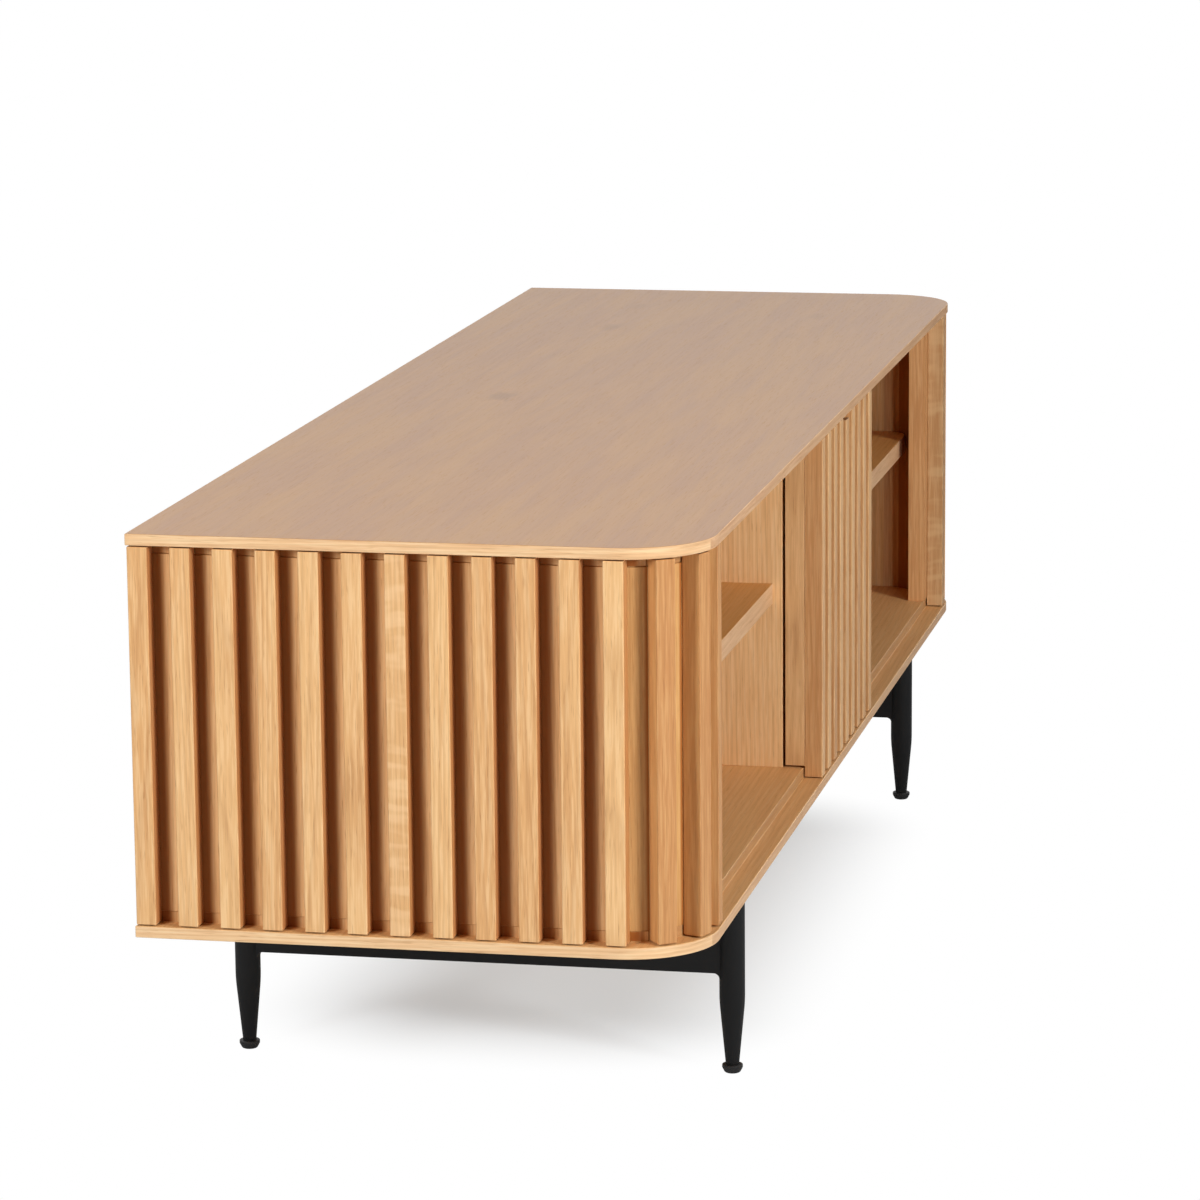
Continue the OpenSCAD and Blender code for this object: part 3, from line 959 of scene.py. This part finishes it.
# %% All the slats
TOP_END = 5 * MM
SPARE = 0.1 * MM


def shorten(slat, spare):
    """Pull the slat's top end down by the length that it has to spare."""
    top = box_corners(slat)[1].z
    only(slat)
    bpy.ops.object.mode_set(mode="EDIT")
    pick_faces(slat, lambda centre, normal: centre.z > top - TOP_END)
    bpy.ops.transform.translate(value=(0, 0, -spare))
    bpy.ops.object.mode_set(mode="OBJECT")


def copy_slat(pattern, node):
    """A copy of the pattern at its node's place, with its finishes and its own plank."""
    low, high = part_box(node)
    length = pattern.dimensions.z
    middle = (low + high) / 2
    turn = facing(middle)
    way = Vector((math.cos(turn), math.sin(turn), 0))
    slat = pattern.copy()
    slat.data = pattern.data.copy()
    bpy.context.scene.collection.objects.link(slat)
    place = Vector((middle.x, middle.y, low.z + length / 2))
    slat.matrix_world = Matrix.Translation(place) @ Matrix.Rotation(turn, 4, "Z")
    settle(slat, node + "_oak")
    spare = length - (high.z - low.z)
    if spare > SPARE:
        shorten(slat, spare)
    paint(slat, *slat_finish(node), choose=lambda face: slat_face(face, way))
    give_plank(slat)
    return slat


slat_nodes = [name for name in frame["nodes"] if "_slat_" in name]
for node in sorted(slat_nodes):
    hand_over(copy_slat(pattern, node), node)
bpy.data.objects.remove(pattern)
print(len(slat_nodes), "slats")

# %% [markdown]
# ## Dividers, shelves and the door board
# These are plain boards with lightly eased edges. The outer shelves have one round corner, which
# follows the bend of the end panel.

# %% Dividers, shelves, door board
SHELF_CORNER = 25 * MM
OUTER_END = 0.5
FLAT_FACE, FRONT_BAND = range(2)


def upright(node, finish):
    """A divider or the door board."""
    piece = block(node + "_oak", *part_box(node))
    sand(piece, PANEL_ARRIS)
    smooth(piece)
    paint(piece, finish)
    give_plank(piece)
    hand_over(piece, node)


def shelf(node, rounded):
    """A shelf with a banded front edge, and one round corner if it meets an end panel."""
    piece = block(node + "_oak", *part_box(node))
    if rounded:
        only(piece)
        bpy.ops.object.mode_set(mode="EDIT")
        pick_edges(piece, lambda mid, way: abs(way.z) > 0.9 and mid.y < 0 and abs(mid.x) > OUTER_END)
        bpy.ops.mesh.bevel(offset=SHELF_CORNER, segments=16, affect="EDGES")
        bpy.ops.object.mode_set(mode="OBJECT")
    sand(piece, PANEL_ARRIS)
    smooth(piece)
    paint(piece, oak_shelf, oak_lip,
          choose=lambda face: FRONT_BAND if face.normal.y < -0.5 else FLAT_FACE)
    give_plank(piece, "x")
    hand_over(piece, node)


for node in ("left_divider", "right_divider"):
    upright(node, oak_board)
for node in ("left_shelf", "centre_shelf", "right_shelf"):
    shelf(node, rounded=node != "centre_shelf")
upright("door_board", oak_panel)
print("dividers, shelves and door board made")

# %% [markdown]
# ## The steel base
# Each frame is two round legs and a flat rail. A leg is a cylinder, cut where its taper starts and
# drawn in at the foot. A bevel rounds the bend where the taper begins.

# %% A leg
LEG_RADIUS = 10.5 * MM
TAPER_Z = 60 * MM
TAPER_ROUND = 6 * MM
TIP = 5.5 * MM


def turned_leg(name, x, y, bottom, top):
    """A round leg that tapers below TAPER_Z to the tip's radius."""
    bpy.ops.object.select_all(action="DESELECT")
    bpy.ops.mesh.primitive_cylinder_add(vertices=64, radius=LEG_RADIUS, depth=top - bottom,
                                        location=(x, y, (top + bottom) / 2))
    leg = settle(bpy.context.object, name)
    bpy.ops.object.mode_set(mode="EDIT")
    bpy.ops.mesh.select_all(action="SELECT")
    bpy.ops.mesh.bisect(plane_co=(0, 0, TAPER_Z), plane_no=(0, 0, 1))
    pick_faces(leg, lambda c, n: n.z < -0.9)
    shrink = TIP / LEG_RADIUS
    bpy.ops.transform.resize(value=(shrink, shrink, 1), center_override=(x, y, bottom))
    pick_edges(leg, lambda mid, way: abs(mid.z - TAPER_Z) < MM and abs(way.z) < 0.1)
    bpy.ops.mesh.bevel(offset=TAPER_ROUND, segments=6, affect="EDGES")
    bpy.ops.object.mode_set(mode="OBJECT")
    return leg


print("leg", round(2 * LEG_RADIUS / MM), "mm thick and", round(2 * TIP / MM), "mm at the tip")

# %% [markdown]
# The rail's lower corners have a small weld fillet: a little block is pulled down at each end and
# the inside edge that it makes is bevelled, which fills that corner with a curve.

# %% The rail
RAIL = {"low": 84 * MM, "high": 124 * MM, "thick": 12 * MM}
RAIL_ARRIS = 0.8 * MM
WELD = 5 * MM
WELD_CURVE = 0.96 * WELD


def rail(name, x, reach, inner):
    """A flat rail between the legs, which is deeper beyond the inner distance from the middle."""
    half = RAIL["thick"] / 2
    piece = block(name, (x - half, -reach, RAIL["low"]), (x + half, reach, RAIL["high"]))
    only(piece)
    bpy.ops.object.mode_set(mode="EDIT")
    for y in (-inner, inner):
        bpy.ops.mesh.select_all(action="SELECT")
        bpy.ops.mesh.bisect(plane_co=(0, y, 0), plane_no=(0, 1, 0))
    pick_faces(piece, lambda c, n: n.z < -0.9 and abs(c.y) > inner)
    bpy.ops.mesh.extrude_region_move(TRANSFORM_OT_translate={"value": (0, 0, -WELD)})
    pick_edges(piece, lambda mid, way: abs(way.x) > 0.9 and abs(abs(mid.y) - inner) < MM
               and abs(mid.z - RAIL["low"]) < MM)
    bpy.ops.mesh.bevel(offset=WELD_CURVE, segments=8, affect="EDGES")
    bpy.ops.object.mode_set(mode="OBJECT")
    sand(piece, RAIL_ARRIS, 3)
    return piece


print("rail", round((RAIL["high"] - RAIL["low"]) / MM), "mm high")

# %% [markdown]
# The plate, the legs and the rail are joined by a union, as the real ones are by their welds, so the
# frame is one closed piece.

# %% The frames
PLATE = 4 * MM
PLATE_ARRIS = 0.6 * MM
FOOT_RIM = 8.5 * MM


def weld(main, *others):
    """Join the other pieces to the main one."""
    for other in others:
        only(main)
        bead = main.modifiers.new("weld", "BOOLEAN")
        bead.operation = "UNION"
        bead.object = other
        bpy.ops.object.modifier_apply(modifier=bead.name)
        bpy.data.objects.remove(other)
    return main


def leg_frame(node):
    """Two legs, a rail and a plate in one."""
    low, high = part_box(node)
    x = (low.x + high.x) / 2
    foot_low, foot_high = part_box("foot_glides")
    reach = (foot_high.y - foot_low.y) / 2 - FOOT_RIM
    plate = block(node + "_steel", (low.x, low.y, high.z - PLATE), high)
    sand(plate, PLATE_ARRIS)
    legs = [turned_leg("leg", x, y, low.z, high.z - PLATE / 2) for y in (-reach, reach)]
    bar = rail("rail", x, reach, reach - LEG_RADIUS + MM)
    piece = weld(plate, *legs, bar)
    smooth(piece)
    paint(piece, black_paint)
    hand_over(piece, node)
    return piece


for node in ("left_leg_frame", "right_leg_frame"):
    piece = leg_frame(node)
    print(node, [round(v, 4) for v in piece.dimensions], len(piece.data.polygons), "faces")

# %% [markdown]
# ## Feet
# A foot is a small moulded bowl. It starts as a cylinder; its base is drawn in, its upper rim is
# bevelled into a round shoulder, and its stem is pulled up into the leg.

# %% Feet
FOOT_BASE = 6.25 * MM
FOOT_STEM = 2.5 * MM
FOOT_HEIGHT = 7 * MM
FOOT_WAIST = 4.4 * MM
BASE_ROUND = 1.2 * MM
RIM_ROUND = 0.7 * MM
BARELY = 0.1 * MM


def foot(x, y, top_of_stem):
    """One foot with its stem."""
    bpy.ops.object.select_all(action="DESELECT")
    bpy.ops.mesh.primitive_cylinder_add(vertices=48, radius=FOOT_RIM, depth=FOOT_HEIGHT,
                                        location=(x, y, FOOT_HEIGHT / 2))
    piece = settle(bpy.context.object, "foot")
    bpy.ops.object.mode_set(mode="EDIT")
    bpy.ops.mesh.select_all(action="SELECT")
    bpy.ops.mesh.bisect(plane_co=(0, 0, FOOT_WAIST), plane_no=(0, 0, 1))
    pick_faces(piece, lambda c, n: n.z < -0.9)
    shrink = FOOT_BASE / FOOT_RIM
    bpy.ops.transform.resize(value=(shrink, shrink, 1), center_override=(x, y, 0))
    bpy.ops.mesh.bevel(offset=BASE_ROUND, segments=4, affect="EDGES")
    pick_faces(piece, lambda c, n: n.z > 0.9)
    bpy.ops.mesh.bevel(offset=RIM_ROUND, segments=3, affect="EDGES")
    pick_faces(piece, lambda c, n: n.z > 0.99 and c.z > FOOT_HEIGHT - BARELY)
    bpy.ops.mesh.inset(thickness=FOOT_RIM - RIM_ROUND - FOOT_STEM)
    rise = (0, 0, top_of_stem - FOOT_HEIGHT)
    bpy.ops.mesh.extrude_region_move(TRANSFORM_OT_translate={"value": rise})
    bpy.ops.object.mode_set(mode="OBJECT")
    return piece


foot_low, foot_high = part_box("foot_glides")
across = (foot_low.x + FOOT_RIM, foot_high.x - FOOT_RIM)
deep = (foot_low.y + FOOT_RIM, foot_high.y - FOOT_RIM)
feet = [foot(x, y, foot_high.z) for x in across for y in deep]
bpy.ops.object.select_all(action="DESELECT")
for one in feet:
    one.select_set(True)
bpy.context.view_layer.objects.active = feet[0]
bpy.ops.object.join()
feet = settle(bpy.context.object, "foot_glides_plastic")
smooth(feet)
paint(feet, black_plastic)
hand_over(feet, "foot_glides")
print("feet", [round(v, 4) for v in feet.dimensions])

# %% [markdown]
# ## Parts that keep their own shape
# The back panel, the track and the small fittings already have their real shape, so they stay and
# only change finish.

# %% Kept parts
KEPT = {"back_panel": oak_shelf, "dowels": oak_board, "door_track": aluminium,
        "door_hangers": white_nylon, "door_glides": white_nylon,
        "back_screws": zinc, "frame_screws": zinc}
for node, finish in KEPT.items():
    kept = frame["nodes"][node]
    kept.data.materials.clear()
    kept.data.materials.append(finish)
print("kept", sorted(KEPT))

# %% [markdown]
# ## The lamps
# A big soft lamp stands off the back left corner, low enough to throw each slat's shadow into its
# groove. A second one at the front left opens up the shelves, a wide one overhead lights the top,
# and a weak one behind keeps the back from going flat. A narrow spot reaches along the front to the
# far slat and the right bay, which the others hardly touch.
#
# The soft lamps don't show as reflections. The top is smooth, and seen from a low angle it would
# mirror them as white glare.

# %% Lamps
ACCENT_EDGE = 0.5
ACCENT_SOFT = 0.06


def place_lamp(data, place, aim):
    """Hang a lamp in its place and turn it, down its own -Z, to what it lights."""
    lamp = bpy.data.objects.new(data.name, data)
    lamp.location = place
    lamp.visible_camera = False
    lamp.rotation_euler = (Vector(aim) - Vector(place)).to_track_quat("-Z", "Y").to_euler()
    bpy.context.scene.collection.objects.link(lamp)
    return lamp


def soft_light(name, place, aim, size, power):
    """A round, soft lamp of this size and power."""
    data = bpy.data.lights.new(name, "AREA")
    data.shape = "DISK"
    data.size = size
    data.energy = power
    lamp = place_lamp(data, place, aim)
    lamp.visible_glossy = False


def accent_light(place, aim, beam, power):
    """A spot with a narrow beam, in degrees."""
    data = bpy.data.lights.new("accent", "SPOT")
    data.spot_size = math.radians(beam)
    data.spot_blend = ACCENT_EDGE
    data.shadow_soft_size = ACCENT_SOFT
    data.energy = power
    place_lamp(data, place, aim)


soft_light("key", (-2.78, 1.30, 1.34), (-0.5, 0, 0.3), 0.85, 42)
soft_light("fill", (-2.2, -3.0, 1.4), (0, -0.1, 0.3), 1.0, 113)
soft_light("overhead", (0.2, 0.3, 3.2), (0, 0, 0.3), 2.8, 20)
soft_light("back", (1.8, 3.0, 0.8), (0, 0, 0.3), 2.0, 40)
accent_light((-3.0, -1.55, 0.9), (0.69, -0.21, 0.32), 7.0, 78)
print("lamps", [lamp.name for lamp in bpy.data.lights])

# %% [markdown]
# ## The floor
# The floor is pale and fades to white with distance. The camera sees part of it as plain white, so
# it stays bright and still keeps a soft shadow near the cabinet, where the paper shows most.

# %% Floor
FLOOR_RADIUS = 40
SHADOW_CORE = (0.32, 0.06, 0)
SHADOW_FADE = 0.20
WHITE_NEAR = 0.38
WHITE_FAR = 0.62
PAPER = (0.73, 0.79, 0.83)


def paper_finish():
    """Pale paper near the middle, which the camera sees as white further out."""
    f = Finish("studio_floor")
    spot = f.node("ShaderNodeTexCoord", output="Object")
    flat = f.vectors("ABSOLUTE", spot, (0, 0, 0))
    outside = f.vectors("MAXIMUM", f.vectors("SUBTRACT", flat, SHADOW_CORE), (0, 0, 0))
    away = f.span(f.length(outside), 0.0, SHADOW_FADE)
    seen = f.node("ShaderNodeLightPath", output="Is Camera Ray")
    paper = f.node("ShaderNodeBsdfDiffuse", None, {"Color": (*PAPER, 1)})
    glow = f.node("ShaderNodeEmission", None, {"Color": (1, 1, 1, 1), "Strength": 1.0})
    share = seen * (WHITE_NEAR + WHITE_FAR * away)
    both = f.node("ShaderNodeMixShader", None, {0: share, 1: paper, 2: glow})
    output = f.tree.nodes.new("ShaderNodeOutputMaterial")
    f.tree.links.new(both.socket, output.inputs["Surface"])
    return f.material


def studio_floor():
    """A wide disc at floor height."""
    bpy.ops.object.select_all(action="DESELECT")
    bpy.ops.mesh.primitive_circle_add(vertices=96, radius=FLOOR_RADIUS, fill_type="NGON")
    floor = settle(bpy.context.object, "studio_floor")
    floor.data.materials.append(paper_finish())
    return floor


floor = studio_floor()
print("floor", [round(v, 1) for v in floor.dimensions])

# %% [markdown]
# ## The surroundings
# The world is white to the camera and in reflections and gives no light of its own, so the lamps
# alone shape the cabinet.

# %% World
def white_world():
    """White where the camera or a reflection sees it, and dark for all other light."""
    world = bpy.data.worlds.new("studio_world")
    bpy.context.scene.world = world
    world.use_nodes = True
    tree = world.node_tree
    tree.nodes.clear()
    path = tree.nodes.new("ShaderNodeLightPath")
    either = tree.nodes.new("ShaderNodeMath")
    either.operation = "MAXIMUM"
    tree.links.new(path.outputs["Is Camera Ray"], either.inputs[0])
    tree.links.new(path.outputs["Is Glossy Ray"], either.inputs[1])
    sky = tree.nodes.new("ShaderNodeBackground")
    sky.inputs["Color"].default_value = (1, 1, 1, 1)
    tree.links.new(either.outputs[0], sky.inputs["Strength"])
    output = tree.nodes.new("ShaderNodeOutputWorld")
    tree.links.new(sky.outputs[0], output.inputs["Surface"])


white_world()
bpy.context.scene.view_settings.view_transform = "Standard"
print("studio ready")
